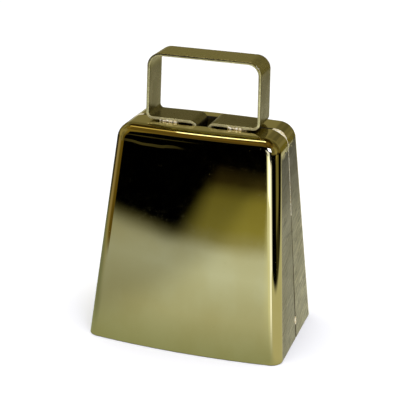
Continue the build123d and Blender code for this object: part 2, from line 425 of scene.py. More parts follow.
def strap_section():
    """The strap's section, with eased corners, and which of its points lie on the narrow edges."""
    ease = STRAP_EASE
    flat = np.linspace(-1, 1, 13) * (STRAP_HALF - ease)
    turn = np.linspace(0, math.pi / 2, 5)
    half = STRAP / 2
    corner = np.stack([STRAP_HALF - ease + ease * np.sin(turn), half - ease + ease * np.cos(turn)], -1)
    top = np.stack([flat[1:-1], np.full(11, half)], -1)
    right = np.concatenate([corner, corner[::-1] * (1, -1)])
    bottom = top[::-1] * (1, -1)
    section = np.concatenate([top, right, bottom, -right])
    return section[::-1], (np.abs(section[:, 0]) > STRAP_HALF - 0.5 * ease)[::-1]


def handle_strap(materials):
    """The strap: down one tail, round the loop and down the other, with rounded tail ends."""
    foot_z, top_z = CROWN_Z + STRAP_LIFT + STRAP / 2, strap_high.z - STRAP / 2
    foot_x, top_x = LOOP_FOOT_X - STRAP / 2, LOOP_TOP_X - STRAP / 2
    right = [(TAIL_X, strap_low.z), (TAIL_X, foot_z), (foot_x, foot_z), (top_x, top_z)]
    left = [(-x, z) for x, z in right]
    loop, foot, tail = (radius - STRAP / 2 for radius in (LOOP_RADIUS, FOOT_RADIUS, TAIL_RADIUS))
    flat, ways = bent_path(left + right[::-1], [tail, foot, loop, loop, foot, tail], 0.8 * MM)
    points = upright(flat, 1)
    scales = []
    for point in points:
        end = min(point[2] - strap_low.z, TAIL_CORNER)
        narrow = STRAP_HALF - TAIL_CORNER + math.sqrt(TAIL_CORNER**2 - (TAIL_CORNER - end) ** 2)
        scales.append((narrow / STRAP_HALF, 1.0))
    section, edge = strap_section()
    swept, faces = sweep(points, upright(ways, 1), np.array([0, 1.0, 0]), section, scales)
    for i, point in enumerate(swept):
        swept[i, 1] += STRAP_WAVE * rough(point, 9 * MM, 3) * (abs(point[1]) / STRAP_HALF)
    marks = {"edge": np.tile(edge.astype(float), len(points))}
    return mesh_piece("handle_strap_bent", swept, faces, materials, marks)


def hanger_pin(material):
    """The pin, with a hammered dome on each end."""
    dome = [(math.cos(a) * PIN_HEAD, (0.55 + 0.85 * math.sin(a)) * MM) for a in np.linspace(0, 1.45, 8)]
    right = [(PIN_RADIUS, 0), (PIN_HEAD - 0.1 * MM, 0), (PIN_HEAD, 0.1 * MM), *dome]
    right = [(radius, PIN_HALF + along) for radius, along in right]
    profile = [(radius, -along) for radius, along in right[::-1]] + right
    points, faces = lathe(profile, 40, np.array(PIN), (1, 0, 0))
    for i, point in enumerate(points):
        if abs(point[0]) > PIN_HALF + 0.5 * MM:
            points[i, 0] += 0.05 * MM * rough(point, 1.2 * MM, 5)
    return mesh_piece("hanger_pin_riveted", points, faces, [material])


def racetrack(length, radius, steps=18):
    """A closed path of two half turns joined by straight runs, starting halfway up a run."""
    lower = [(math.cos(a), math.sin(a)) for a in np.linspace(math.pi, 2 * math.pi, steps)]
    upper = [(math.cos(a), math.sin(a)) for a in np.linspace(0, math.pi, steps)]
    points = [(radius * c, radius * s) for c, s in lower]
    points += [(radius, length * k / 8) for k in range(1, 8)]
    points += [(radius * c, length + radius * s) for c, s in upper]
    points += [(-radius, length * (1 - k / 8)) for k in range(1, 8)]
    points = np.array(points)
    ways = np.roll(points, -1, 0) - np.roll(points, 1, 0)
    return points, ways / np.linalg.norm(ways, axis=1)[:, None]


def clapper_link(material):
    """The closed wire link, with the bulge of its butt weld halfway up one side."""
    flat, ways = racetrack(LINK_RUN, LINK_BEND)
    points = upright(flat + (0, PIN.z - LINK_RUN), 0)
    scales = []
    for y, z in flat:
        weld = math.exp(-(((z - LINK_RUN / 2) / (0.5 * MM)) ** 2)) if y > 0 else 0
        scales.append((1 + 0.08 * weld, 1 + 0.08 * weld))
    section = round_section(LINK_WIRE)
    swept, faces = sweep(points, upright(ways, 0), np.array([1.0, 0, 0]), section, scales, closed=True)
    return mesh_piece("clapper_link_wire", swept, faces, [material])


def rod_path():
    """The rod's middle line: up the stem, round the neck and nearly all the way round the eye."""
    drop = math.sqrt(ROD_BEND**2 + 2 * ROD_BEND * ROD_NECK)
    turn = math.asin(drop / (ROD_BEND + ROD_NECK))
    low = EYE.z - drop
    stem = [(0, z) for z in np.linspace(ROD_FOOT, low, 60)[:-1]]
    bow = [(ROD_NECK * (1 - math.cos(a)), low + ROD_NECK * math.sin(a)) for a in np.linspace(0, turn, 10)]
    round_eye = np.linspace(-turn, math.radians(200), 48)[1:]
    hook = [(ROD_BEND * math.cos(a), EYE.z + ROD_BEND * math.sin(a)) for a in round_eye]
    return np.array(stem + bow + hook)


def clapper_rod(material):
    """The stem, its neck and the eye that hooks round the link, with the peened end below the ball."""
    flat = rod_path()
    ways = np.gradient(flat, axis=0)
    ways /= np.linalg.norm(ways, axis=1)[:, None]
    points = upright(flat, 1)
    scales = [(1 + 0.02 * rough(p, 6 * MM, 7),) * 2 for p in points]
    scales[-1] = (0.8, 0.8)
    swept, faces = sweep(points, upright(ways, 1), np.array([0, 1.0, 0]), round_section(ROD_WIRE), scales)
    tip = [(1.5, 0.3), (2.45, 0.0), (2.7, -0.25), (2.68, -0.7), (2.3, -1.1), (1.5, -1.27), (0.5, -1.3)]
    profile = [(radius * MM, ROD_FOOT + along * MM) for radius, along in tip[::-1]]
    cap, cap_faces = lathe(profile, 32, np.zeros(3), (0, 0, 1))
    for i, point in enumerate(cap):
        cap[i] += 0.05 * MM * rough(point, 1.5 * MM, 11) * np.array([1, 1, 0.5])
    faces += [face + len(swept) for face in cap_faces]
    return mesh_piece("clapper_rod_bent", np.concatenate([swept, cap]), faces, [material])


def clapper_ball(material):
    """The turned striker, with a small flat at each pole and dents where it has struck."""
    start = math.asin(BALL_FLAT / BALL_RADIUS)
    flat = [(ROD_WIRE, BALL_RADIUS * math.cos(start)), (BALL_FLAT - 0.2 * MM, BALL_RADIUS * math.cos(start))]
    profile = [(radius, -along) for radius, along in flat]
    for a in np.linspace(start, math.pi - start, 72):
        radius = BALL_RADIUS + 0.02 * MM * math.sin(26 * a)
        profile.append((radius * math.sin(a), -radius * math.cos(a)))
    points, faces = lathe(profile + flat[::-1], 96, np.array([0, 0, BALL_Z]), (0, 0, 1))
    for i, point in enumerate(points):
        out = (point - (0, 0, BALL_Z)) / BALL_RADIUS
        dent = max(0.0, rough(point, 3.1 * MM, 13) - 0.25) * max(0.0, 1 - 2.2 * abs(out[2]))
        points[i] -= out * 0.45 * MM * dent
    return mesh_piece("clapper_ball_turned", points, faces, [material])


# ---------------------------------------------------------------- brazing

def seam_route(low, high):
    """Stations up the right-hand seam: x, z and outward normal of the wall's outer surface."""
    station = half_outline(0.0)
    station = station[(station[:, 0] > low[0]) & (station[:, 1] > low[1]) & (station[:, 1] < high)]
    fine = np.linspace(0, len(station) - 1, 6 * len(station))
    return np.stack([np.interp(fine, np.arange(len(station)), column) for column in station.T], -1)


def filler_section(width, proud, neck, bead, bead_height):
    """Half of the filler's section through the wall: outward distance and y, from the outside in."""
    out = [(proud * (1 - t**2) - 0.02 * MM, width * t) for t in np.linspace(0, 1, 7)]
    stem = [(-0.09 * MM, width * 0.98), (-0.24 * MM, neck), (0.05 * MM - SHEET, neck)]
    back = [(0.03 * MM - SHEET - bead_height * (1 - t**2), bead * t) for t in np.linspace(1, 0, 7)]
    return np.array(out + stem + back)


def filler_strip(name, side, stations, sections, lumps, material):
    """Filler lofted along a wall's seam through one section for each station."""
    rings = []
    for (x, z, nx, nz), half in zip(stations, sections):
        ring = np.concatenate([half, half[-2:0:-1] * (1, -1)])
        points = np.stack([x + nx * ring[:, 0], ring[:, 1], z + nz * ring[:, 0]], -1)
        rings.append(points)
    points = np.concatenate(rings)
    for i, point in enumerate(points):
        points[i] += lumps * rough(point, 0.9 * MM, 17 + side) * np.array([1, 0.7, 0])
    grid = ring_grid(len(rings), len(rings[0]))
    ends = [grid[0, :-1][::side], grid[-1, :-1][::-side]]
    points[:, 0] *= side
    return mesh_piece(name, points, [*quads(grid, flip=side > 0), *ends], [material])


def seam_braze(name, side, material):
    """The brazed seam: a smoothed lens over the shoulder that narrows to a hairline down the side."""
    stations = seam_route((SLIT_END - 0.2 * MM, SEAM_OPEN_BELOW), 1.0)
    sections = []
    for k, (x, z, _, nz) in enumerate(stations):
        over = math.exp(-(((nz - 0.84) / 0.24) ** 2))
        width = (0.3 + 1.6 * over + 0.15 * rough((x, side, z), 2.2 * MM, 19)) * MM
        bead = (1.15 + 0.15 * rough((x, side, z), 1.6 * MM, 23)) * MM
        sections.append(filler_section(width, (0.03 + 0.1 * over) * MM, 0.13 * MM, bead, 0.5 * MM))
    return filler_strip(name, side, stations, sections, 0.02 * MM, material)


def seam_tack(name, side, material):
    """A short lumpy tack across the open seam just above the rim."""
    low, high = (bound.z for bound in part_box("seam_tack_right"))
    middle, half = (low + high) / 2, (high - low) / 2 - 0.15 * MM
    sections, stations = [], []
    for t in np.linspace(-0.985, 0.985, 26):
        z = middle + half * t
        stations.append((MOUTH_X - z * math.tan(flare), z, *side_normal))
        swell = math.sqrt(1 - t * t)
        neck = float(seam_half(MOUTH_X, z)) - 0.02 * MM
        width = max(1.3 * MM * swell, neck + 0.05 * MM)
        sections.append(filler_section(width, 0.36 * MM * swell, neck, neck + 0.05 * MM, 0.02 * MM))
    return filler_strip(name, side, stations, sections, 0.05 * MM, material)


def add_lump(mesh, centre, radii):
    """Adds a droplet, an icosphere stretched along the axes, to a bmesh."""
    made = bmesh.ops.create_icosphere(mesh, subdivisions=2, radius=1.0)
    for vertex in made["verts"]:
        vertex.co = Vector(centre) + Vector([a * b for a, b in zip(vertex.co, radii)])


def handle_braze(name, side, material):
    """Filler under a foot of the strap, run out past the strap's edges in droplets that have merged."""
    low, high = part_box("handle_braze_right")
    rng = np.random.default_rng(31 + side)
    droplets = bmesh.new()
    level = CROWN_Z + STRAP_LIFT / 2
    for x in np.arange(low.x + 0.6 * MM, high.x - 0.5 * MM, 0.45 * MM):
        for y in np.arange(-STRAP_HALF + 1.3 * MM, STRAP_HALF - 1.2 * MM, 0.9 * MM):
            add_lump(droplets, (x, y, level), (0.6 * MM, 0.8 * MM, 0.31 * MM))
    for edge in (-1, 1):
        x = low.x + 0.7 * MM
        while x < high.x - 0.6 * MM:
            size = (0.34 + 0.5 * rng.random() ** 2) * MM
            y = edge * (STRAP_HALF + rng.uniform(-0.15, 0.05) * MM)
            add_lump(droplets, (x, y, CROWN_Z + rng.uniform(0.25, 0.6) * MM), (size, 0.8 * size, size))
            add_lump(droplets, (x, y - edge * 0.8 * MM, level), (0.8 * size, MM, 0.31 * MM))
            x += size * rng.choice([0.7, 1.1, 2.0, 3.4])
    mesh = bpy.data.meshes.new(name)
    droplets.to_mesh(mesh)
    droplets.free()
    return fused(name, mesh, 0.11 * MM, side, (low, high), material)


def fused(name, mesh, voxel, side, limits, material):
    """One smooth skin round all the lumps of a mesh, kept inside limits and put on its side."""
    rough_piece = bpy.data.objects.new(name + "_lumps", mesh)
    bpy.context.scene.collection.objects.link(rough_piece)
    remesh = rough_piece.modifiers.new("Remesh", "REMESH")
    remesh.mode = "VOXEL"
    remesh.voxel_size = voxel
    relax = rough_piece.modifiers.new("Smooth", "SMOOTH")
    relax.iterations = 3
    bpy.context.view_layer.update()
    whole = bpy.data.meshes.new_from_object(rough_piece.evaluated_get(bpy.context.evaluated_depsgraph_get()))
    bpy.data.objects.remove(rough_piece)
    points = np.array([v.co for v in whole.vertices])
    low, high = limits
    points[:, :2] = np.clip(points[:, :2], np.array(low)[:2], np.array(high)[:2])
    points[:, 2] = np.maximum(points[:, 2], CROWN_Z - 0.05 * MM)
    points[:, 0] *= side
    faces = [list(p.vertices)[::side] for p in whole.polygons]
    return mesh_piece(name, points, faces, [material])


# ---------------------------------------------------------------- materials

# Polished plating
PLATE = (0.81, 0.73, 0.35, 1)
PLATE_DEEP = (0.78, 0.69, 0.31, 1)
PLATE_WORN = (0.86, 0.83, 0.62, 1)
PLATE_PIT = (0.12, 0.09, 0.05, 1)
RIPPLE_Z = 90.0 * MM  # height of a faint pressing line across the faces

# Belt-ground side walls
BELT = (math.radians(15), 0, 0)  # slope of the belt's marks
SIDE_DARK = (0.33, 0.30, 0.2, 1)
SIDE_PALE = (0.95, 0.92, 0.72, 1)
SIDE_GREY = (0.6, 0.59, 0.48, 1)
SIDE_OLIVE = (0.45, 0.42, 0.24, 1)
SIDE_DASH = (0.06, 0.05, 0.03, 1)
# Painted shade over the ground side walls, deepest at the shoulder
SIDE_PAINTED_SHADE = (0.09, 0.08, 0.045, 1)

# Handle strap
STRAP_DEEP = (0.35, 0.28, 0.07, 1)
STRAP_TONE = (0.47, 0.42, 0.12, 1)
STRAP_PALE = (0.58, 0.54, 0.21, 1)
# Painted shade that darkens the strap's legs below the top
STRAP_SHADE = (0.06, 0.045, 0.02, 1)
# Painted shade for the strap's tails down in the crown's slot
STRAP_SLOT_SHADE = (0.04, 0.03, 0.015, 1)
# Bright tones of the strap's edges: partly polished plating, partly painted highlight
STRAP_RIM_POLISH_AND_SHEEN = (0.78, 0.68, 0.32, 1)
STRAP_EDGE_GLINT = (1.0, 0.9, 0.45, 1)

# Inside of the sheet, its cut edges and the filler
INSIDE_DARK = (0.42, 0.37, 0.2, 1)
INSIDE_PALE = (0.55, 0.5, 0.3, 1)
INSIDE_DRAWN = (0.3, 0.26, 0.15, 1)
INSIDE_HEAT = (0.2, 0.11, 0.08, 1)
# Cut edge tones, kept very dark partly as painted shade in the seam's gap
CUT_DARK_AND_SHADE = (0.1, 0.08, 0.05, 1)
CUT_PALE = (0.26, 0.22, 0.14, 1)
CUT_PLATED = (0.4, 0.34, 0.17, 1)
FILLER_DEEP = (0.7, 0.56, 0.28, 1)
FILLER_PALE = (1.0, 0.95, 0.76, 1)
FLUX = (0.25, 0.17, 0.08, 1)
RUST = (0.16, 0.09, 0.05, 1)


class Nodes:
    """A node tree, and short ways to add to it."""

    def __init__(self, tree):
        self.tree = tree
        tree.nodes.clear()

    def add(self, kind, settings=None, **sockets):
        """A new node; settings are its own properties and sockets are its inputs by name."""
        made = self.tree.nodes.new("ShaderNode" + kind)
        for key, value in (settings or {}).items():
            setattr(made, key, value)
        for key, value in sockets.items():
            self.feed(made.inputs[key], value)
        return made

    def feed(self, socket, value):
        """Sets a socket to a plain value, or links it when the value is another node's output."""
        if isinstance(value, bpy.types.NodeSocket):
            self.tree.links.new(value, socket)
        else:
            socket.default_value = value

    def at(self, size, turn=(0, 0, 0), shift=(0, 0, 0)):
        """Coordinates turned by turn and counted in steps of size, three lengths in millimetres."""
        mapping = self.add("Mapping", {"vector_type": "TEXTURE"}, Vector=self.place)
        mapping.inputs["Scale"].default_value = [length * MM for length in size]
        mapping.inputs["Rotation"].default_value = turn
        mapping.inputs["Location"].default_value = [length * MM for length in shift]
        return mapping.outputs[0]

    def noise(self, size, detail=3.0, turn=(0, 0, 0), shift=(0, 0, 0), roughness=0.5):
        """Smooth noise from 0 to 1 with features of about size."""
        where = self.at(size, turn, shift)
        made = self.add("TexNoise", Vector=where, Scale=1.0, Detail=detail, Roughness=roughness)
        return made.outputs["Fac"]

    def cells(self, size, shift=(0, 0, 0)):
        """Voronoi cells: distance to the nearest cell's middle, and a random colour for each cell."""
        made = self.add("TexVoronoi", Vector=self.at(size, shift=shift), Scale=1.0)
        return made.outputs["Distance"], made.outputs["Color"]

    def ramp(self, value, low, high, to_low=0.0, to_high=1.0):
        """A smooth step of a value between low and high, turned into the range to_low to to_high."""
        made = self.add("MapRange", {"interpolation_type": "SMOOTHSTEP"}, Value=value)
        for index, number in enumerate((low, high, to_low, to_high), 1):
            made.inputs[index].default_value = number
        return made.outputs[0]

    def swing(self, turn, low, high):
        """A smooth step of an angle between two directions in degrees."""
        return self.ramp(turn, math.radians(low), math.radians(high))

    def math(self, operation, first, second):
        """The result of one Math node."""
        made = self.add("Math", {"operation": operation})
        self.feed(made.inputs[0], first)
        self.feed(made.inputs[1], second)
        return made.outputs[0]

    def times(self, first, second):
        return self.math("MULTIPLY", first, second)

    def plus(self, first, second):
        return self.math("ADD", first, second)

    def minus(self, first, second):
        return self.math("SUBTRACT", first, second)

    def most(self, first, second):
        return self.math("MAXIMUM", first, second)

    def vector(self, operation, first, second=(0, 0, 0)):
        """The number or the vector that one Vector Math node makes."""
        made = self.add("VectorMath", {"operation": operation})
        self.feed(made.inputs[0], first)
        self.feed(made.inputs[1], second)
        return made.outputs["Value" if operation in ("DOT_PRODUCT", "LENGTH") else "Vector"]

    def part(self, axis, vector=None):
        """One of the three values of a vector, or of the place where none is given."""
        return self.add("SeparateXYZ", Vector=self.place if vector is None else vector).outputs[axis]

    def blend(self, factor, first, second, kind="RGBA"):
        """A mix of two colours, or of two numbers when kind is FLOAT."""
        made = self.add("Mix", {"data_type": kind})
        sockets = {"RGBA": (0, 6, 7, 2), "FLOAT": (0, 2, 3, 0)}[kind]
        for socket, value in zip(sockets[:3], (factor, first, second)):
            self.feed(made.inputs[socket], value)
        return made.outputs[sockets[3]]

    def gradient(self, value, stops):
        """A colour looked up by a value from 0 to 1 in a list of values and their colours."""
        run = self.add("ValToRGB", Fac=value)
        elements = run.color_ramp.elements
        for spot, colour in stops:
            elements.new(spot).color = colour
        elements.remove(elements[0])
        elements.remove(elements[-1])
        return run.outputs["Color"]

    def choose(self, factor, first, second):
        """The first shader where the factor is 0 and the second where it is 1."""
        made = self.add("MixShader")
        for socket, output in zip(made.inputs, (factor, first, second)):
            self.feed(socket, output)
        return made.outputs[0]


class Metal(Nodes):
    """A material with a Principled shader, to which relief is added layer by layer."""

    def __init__(self, name, metallic=1.0):
        self.material = bpy.data.materials.new(name)
        self.material.use_nodes = True
        super().__init__(self.material.node_tree)
        self.surface = self.add("BsdfPrincipled", Metallic=metallic)
        self.add("OutputMaterial", Surface=self.surface.outputs[0])
        self.place = self.add("TexCoord").outputs["Object"]
        self.relief = None

    def value_of(self, attribute):
        return self.add("Attribute", {"attribute_name": attribute}).outputs["Fac"]

    def bump(self, height, depth):
        """Adds relief: height from 0 to 1 times depth, a length in millimetres."""
        made = self.add("Bump", {"invert": False}, Height=height, Distance=depth * MM, Strength=1.0)
        if self.relief is not None:
            self.feed(made.inputs["Normal"], self.relief)
        self.relief = made.outputs[0]

    def finish(self, colour, roughness):
        """Gives the surface its colour, roughness and relief."""
        self.feed(self.surface.inputs["Base Color"], colour)
        self.feed(self.surface.inputs["Roughness"], roughness)
        self.feed(self.surface.inputs["Normal"], self.relief)
        return self.material


def grey(level):
    return (level, level, level, 1.0)


def scratches(shader, turn, length=9.0, width=0.16, amount=0.72):
    """Thin straight scratches in one direction, 1 on a scratch and 0 elsewhere."""
    lines = shader.noise((width, width, length), 1.0, turn)
    patches = shader.noise((length, length, length), 2.0, turn)
    return shader.times(shader.ramp(lines, amount, amount + 0.05), shader.ramp(patches, 0.5, 0.66))


def specks(shader, size, reach, share, shift=(0, 0, 0)):
    """Round specks, each reach across of its cell, in the given share of the cells."""
    distance, colour = shader.cells((size, size, size), shift)
    chosen = shader.ramp(colour, 1 - share, 1 - share + 0.02)
    return shader.times(shader.ramp(distance, reach, 0.5 * reach), chosen)


def polished(shader, hair, dust, pits):
    """Colour and roughness of the polished plating."""
    smudge = shader.noise((16, 16, 22), 4.0)
    film = shader.noise((4, 4, 4), 5.0, shift=(3, 1, 2))
    tone = shader.blend(shader.ramp(smudge, 0.35, 0.65), PLATE, PLATE_DEEP)
    tone = shader.blend(shader.times(hair, 0.25), tone, PLATE_WORN)
    tone = shader.blend(shader.times(pits, 0.6), tone, PLATE_PIT)
    gloss = shader.ramp(film, 0.3, 0.75, 0.02, 0.05)
    gloss = shader.plus(gloss, shader.times(hair, 0.16))
    return tone, shader.plus(gloss, shader.times(dust, 0.3))


def belt_ground(shader, lower, depth):
    """Colour, roughness and relief of the ground side walls, with painted shade that darkens them up near the
    brazed shoulder.
    """
    fine = shader.ramp(shader.noise((3, 16, 0.8), 4.0, BELT, roughness=0.7), 0.36, 0.64)
    coarse = shader.noise((3, 30, 1.7), 2.0, BELT, shift=(0, 4, 1))
    dash = shader.ramp(shader.noise((3, 7, 0.7), 1.0, BELT, shift=(0, 7, 3)), 0.6, 0.66)
    patina = shader.noise((9, 14, 18), 4.0, shift=(2, 0, 5))
    tone = shader.blend(fine, SIDE_DARK, SIDE_PALE)
    tone = shader.blend(shader.ramp(coarse, 0.35, 0.65, 0.0, 0.45), tone, SIDE_GREY)
    tone = shader.blend(shader.ramp(patina, 0.4, 0.7, 0.0, 0.4), tone, SIDE_OLIVE)
    tone = shader.blend(shader.times(dash, shader.ramp(lower, 16, 4, 0.5, 1.0)), tone, SIDE_DASH)
    # painted shade: darker towards the brazed shoulder, fading out 44 mm below it; also a fixed darkening, up
    # to 0.26, of the front shell's half at negative y
    darkening = shader.most(shader.ramp(lower, 2, 44, 0.85, 0.0), shader.ramp(depth, 0.4, -0.4, 0.0, 0.26))
    tone = shader.blend(darkening, tone, SIDE_PAINTED_SHADE)
    gloss = shader.plus(shader.ramp(fine, 0.25, 0.75, 0.30, 0.46), shader.ramp(patina, 0.4, 0.7, 0, 0.06))
    marks = shader.plus(fine, shader.times(coarse, 0.7))
    return tone, gloss, shader.minus(marks, shader.times(dash, 0.5))


def ground_area(shader, lower, depth):
    """1 on the ground flat of the side walls and 0 elsewhere, with a ragged upper end."""
    jag = shader.noise((3, 1.1, 0.9), 4.0, BELT, shift=(9, 2, 4))
    slim = shader.noise((3, 3, 5), 3.0, shift=(1, 9, 4))
    inside = shader.plus(shader.value_of("from_edge"), shader.ramp(slim, 0.2, 0.8, -0.3, 0.1))
    below = shader.plus(lower, shader.ramp(jag, 0.25, 0.75, -2.6, 3.4))
    below = shader.plus(below, shader.times(depth, 0.14))
    return shader.times(shader.ramp(inside, 0.0, 0.16), shader.ramp(below, 0.0, 0.7))


def pressing_line(shader):
    """A faint step across the top of the faces, fading out to the right."""
    sway = shader.ramp(shader.noise((14, 14, 60), 2.0, shift=(3, 3, 3)), 0.3, 0.7, -0.7 * MM, 0.7 * MM)
    off_line = shader.plus(shader.minus(shader.part("Z"), RIPPLE_Z), sway)
    fade = shader.ramp(shader.part("X"), 10 * MM, -14 * MM)
    return shader.times(shader.ramp(off_line, 1.1 * MM, -1.1 * MM), fade)


def plate_material():
    """Polished brass plating, and the belt-ground flat of the side walls."""
    shader = Metal("polished_plate")
    lower = shader.value_of("from_shoulder")
    depth = shader.part("Y", shader.at((1, 1, 1)))  # in millimetres
    hair = shader.most(scratches(shader, (0.0, 0.5, 0.0)), scratches(shader, (0.3, -0.9, 0.0)))
    dust = specks(shader, 2.9, 0.045, 0.2)
    pits = specks(shader, 1.1, 0.1, 0.16, shift=(5, 5, 5))
    tone, gloss = polished(shader, hair, dust, pits)
    side, side_gloss, marks = belt_ground(shader, lower, depth)
    ground = ground_area(shader, lower, depth)
    shader.bump(shader.noise((26, 26, 30), 1.0, shift=(4, 2, 8)), 0.05)
    shader.bump(shader.times(pressing_line(shader), shader.minus(1.0, ground)), 0.075)
    shader.bump(shader.times(hair, -1.0), 0.0012)
    shader.bump(shader.minus(dust, pits), 0.008)
    shader.bump(shader.times(marks, ground), 0.02)
    return shader.finish(shader.blend(ground, tone, side), shader.blend(ground, gloss, side_gloss, "FLOAT"))


def interior_material():
    """The inside of the sheet: dull plating with drawing marks, and temper colours up near the brazing."""
    shader = Metal("shell_interior")
    cloud = shader.noise((12, 12, 16), 5.0)
    draw = shader.noise((0.5, 0.5, 14), 3.0)
    stain = shader.noise((5, 5, 6), 4.0, shift=(3, 8, 1))
    darkening = shader.times(shader.ramp(shader.part("Z"), 0.055, 0.095), shader.ramp(stain, 0.3, 0.65))
    tone = shader.blend(cloud, INSIDE_DARK, INSIDE_PALE)
    tone = shader.blend(shader.ramp(draw, 0.4, 0.7, 0, 0.4), tone, INSIDE_DRAWN)
    tone = shader.blend(darkening, tone, INSIDE_HEAT)
    shader.bump(draw, 0.006)
    shader.bump(stain, 0.02)
    return shader.finish(tone, shader.ramp(cloud, 0.3, 0.7, 0.3, 0.48))


def strap_material():
    """The strap's plating: satin flats, with painted shade on the legs below the top, and bright narrow edges
    that are partly polish and partly painted highlight.
    """
    shader = Metal("strap_plate")
    height = shader.part("Z")
    cloud = shader.noise((7, 7, 7), 4.0)
    grain = shader.noise((2.5, 0.12, 2.5), 3.0)
    hair = scratches(shader, (1.2, 0.2, 0.0), 5.0, 0.12, 0.7)
    edge = shader.ramp(shader.value_of("edge"), 0.35, 0.65)
    glint = shader.ramp(shader.noise((1.6, 1.6, 1.6), 3.0, shift=(2, 6, 1)), 0.42, 0.6)
    pits = specks(shader, 0.9, 0.12, 0.2)
    # painted shade: the legs below the top darkened towards STRAP_SHADE
    painted_leg_shade = shader.ramp(height, strap_high.z - 2 * MM, strap_high.z - 9 * MM, 0.0, 0.5)
    # painted shade: the tails darkened where they go down into the crown's slot
    out_of_slot = shader.ramp(height, CROWN_Z - 1.5 * MM, CROWN_Z + 0.3 * MM)
    tone = shader.blend(cloud, STRAP_DEEP, STRAP_TONE)
    tone = shader.blend(shader.ramp(grain, 0.4, 0.7, 0, 0.35), tone, STRAP_PALE)
    tone = shader.blend(painted_leg_shade, tone, STRAP_SHADE)
    # bright edges: partly polished plating and partly painted highlight, with painted glints in patches
    tone = shader.blend(edge, tone, shader.blend(glint, STRAP_RIM_POLISH_AND_SHEEN, STRAP_EDGE_GLINT))
    tone = shader.blend(shader.times(pits, 0.6), tone, PLATE_PIT)
    tone = shader.blend(out_of_slot, STRAP_SLOT_SHADE, tone)
    gloss = shader.plus(shader.ramp(cloud, 0.3, 0.7, 0.2, 0.32), shader.times(hair, 0.15))
    gloss = shader.blend(edge, gloss, shader.ramp(cloud, 0.3, 0.7, 0.1, 0.16), "FLOAT")
    clean = shader.ramp(height, CROWN_Z + 1.5 * MM, CROWN_Z + 4 * MM, 0.6, 0.97)
    shader.feed(shader.surface.inputs["Metallic"], shader.blend(edge, 0.92, clean, "FLOAT"))
    shader.bump(grain, 0.004)
    shader.bump(shader.times(hair, -1.0), 0.002)
    shader.bump(shader.noise((3, 6, 3), 2.0), 0.02)
    return shader.finish(tone, gloss)


def cut_edge_material():
    """The sheet's cut edges: sheared steel with only a stain of plating, kept very dark, partly as painted
    shade in the seam's gap.
    """
    shader = Metal("cut_edge")
    shear = shader.noise((1.2, 1.2, 0.15), 3.0)
    stain = shader.noise((1.5, 1.5, 2.5), 3.0, shift=(4, 4, 4))
    tone = shader.blend(shear, CUT_DARK_AND_SHADE, CUT_PALE)
    tone = shader.blend(shader.ramp(stain, 0.55, 0.7), tone, CUT_PLATED)
    shader.bump(shear, 0.01)
    return shader.finish(tone, shader.ramp(stain, 0.3, 0.7, 0.4, 0.6))


def braze_material():
    """Bright brass filler with darker flux stains between the droplets."""
    shader = Metal("braze_filler", 0.25)
    stain = shader.noise((0.8, 0.8, 0.8), 4.0)
    crust = shader.noise((0.3, 0.3, 0.3), 3.0)
    tone = shader.blend(shader.ramp(stain, 0.4, 0.6), FILLER_DEEP, FILLER_PALE)
    tone = shader.blend(shader.ramp(crust, 0.6, 0.74, 0, 0.6), tone, FLUX)
    shader.bump(crust, 0.02)
    return shader.finish(tone, shader.ramp(stain, 0.3, 0.7, 0.14, 0.3))


def steel_material(name, bright, dark, worn):
    """Zinc-washed steel with a fine crystal bloom, rubbed bright in patches."""
    shader = Metal(name)
    cloud = shader.noise((2.5, 2.5, 3.5), 5.0)
    grit = shader.noise((0.18, 0.18, 0.18), 3.0)
    spots = specks(shader, 1.3, 0.22, 0.25)
    rub = shader.ramp(shader.noise((6, 6, 3), 3.0, shift=(7, 1, 3)), 0.48, 0.6)
    tone = shader.blend(cloud, dark, bright)
    tone = shader.blend(shader.times(rub, 0.7), tone, worn)
    tone = shader.blend(shader.times(spots, 0.55), tone, RUST)
    gloss = shader.minus(shader.ramp(cloud, 0.3, 0.7, 0.36, 0.5), shader.times(rub, 0.16))
    shader.bump(grit, 0.008)
    shader.bump(shader.times(spots, -1.0), 0.02)
    return shader.finish(tone, gloss)


sheet = [plate_material(), interior_material(), cut_edge_material()]
strap_plate = strap_material()
filler = braze_material()
inner_steel = steel_material("inner_steel", (0.62, 0.62, 0.6, 1), (0.42, 0.42, 0.41, 1), (0.74, 0.73, 0.7, 1))
striker = steel_material("striker_steel", (0.55, 0.54, 0.5, 1), (0.36, 0.35, 0.33, 1), (0.72, 0.7, 0.64, 1))


# ---------------------------------------------------------------- the object

place(half_shell("front_shell_pressed", -1, sheet), "bell", "shell_plate", "front_shell")
place(half_shell("rear_shell_pressed", 1, sheet), "bell", "shell_plate", "rear_shell")
place(handle_strap([strap_plate]), "bell", "strap_plate", "handle_strap")
for side, word in ((1, "right"), (-1, "left")):
    place(seam_braze(f"seam_braze_{word}_run", side, filler), "bell", "braze", f"seam_braze_{word}")
    place(seam_tack(f"seam_tack_{word}_lump", side, filler), "bell", "braze", f"seam_tack_{word}")
    place(handle_braze(f"handle_braze_{word}_beads", side, filler), "bell", "braze", f"handle_braze_{word}")
place(hanger_pin(inner_steel), "bell", "inner_steel", "hanger_pin")
place(clapper_link(inner_steel), "link", "inner_steel", "clapper_link")
place(clapper_rod(inner_steel), "clapper", "inner_steel", "clapper_rod")
place(clapper_ball(striker), "clapper", "striker_steel", "clapper_ball")


# ---------------------------------------------------------------- studio

# Painted glow that the metal mirrors as the floor in front of the bell, by distance in metres, with painted
# shade close to the bell
FLOOR_FADE = 2.2  # where the mirrored floor has gone dark
FLOOR_RUN = [
    (0.03, (0.30, 0.33, 0.25, 1)),
    (0.13, (0.46, 0.48, 0.44, 1)),
    (0.30, (0.60, 0.65, 0.73, 1)),
    (0.42, (0.57, 0.61, 0.67, 1)),
    (0.53, (0.31, 0.30, 0.17, 1)),
    (0.64, (0.27, 0.25, 0.075, 1)),
    (1.00, (0.23, 0.21, 0.055, 1)),
    (1.45, (0.04, 0.03, 0.01, 1)),
    (2.10, (0.0, 0.0, 0.0, 1)),
]

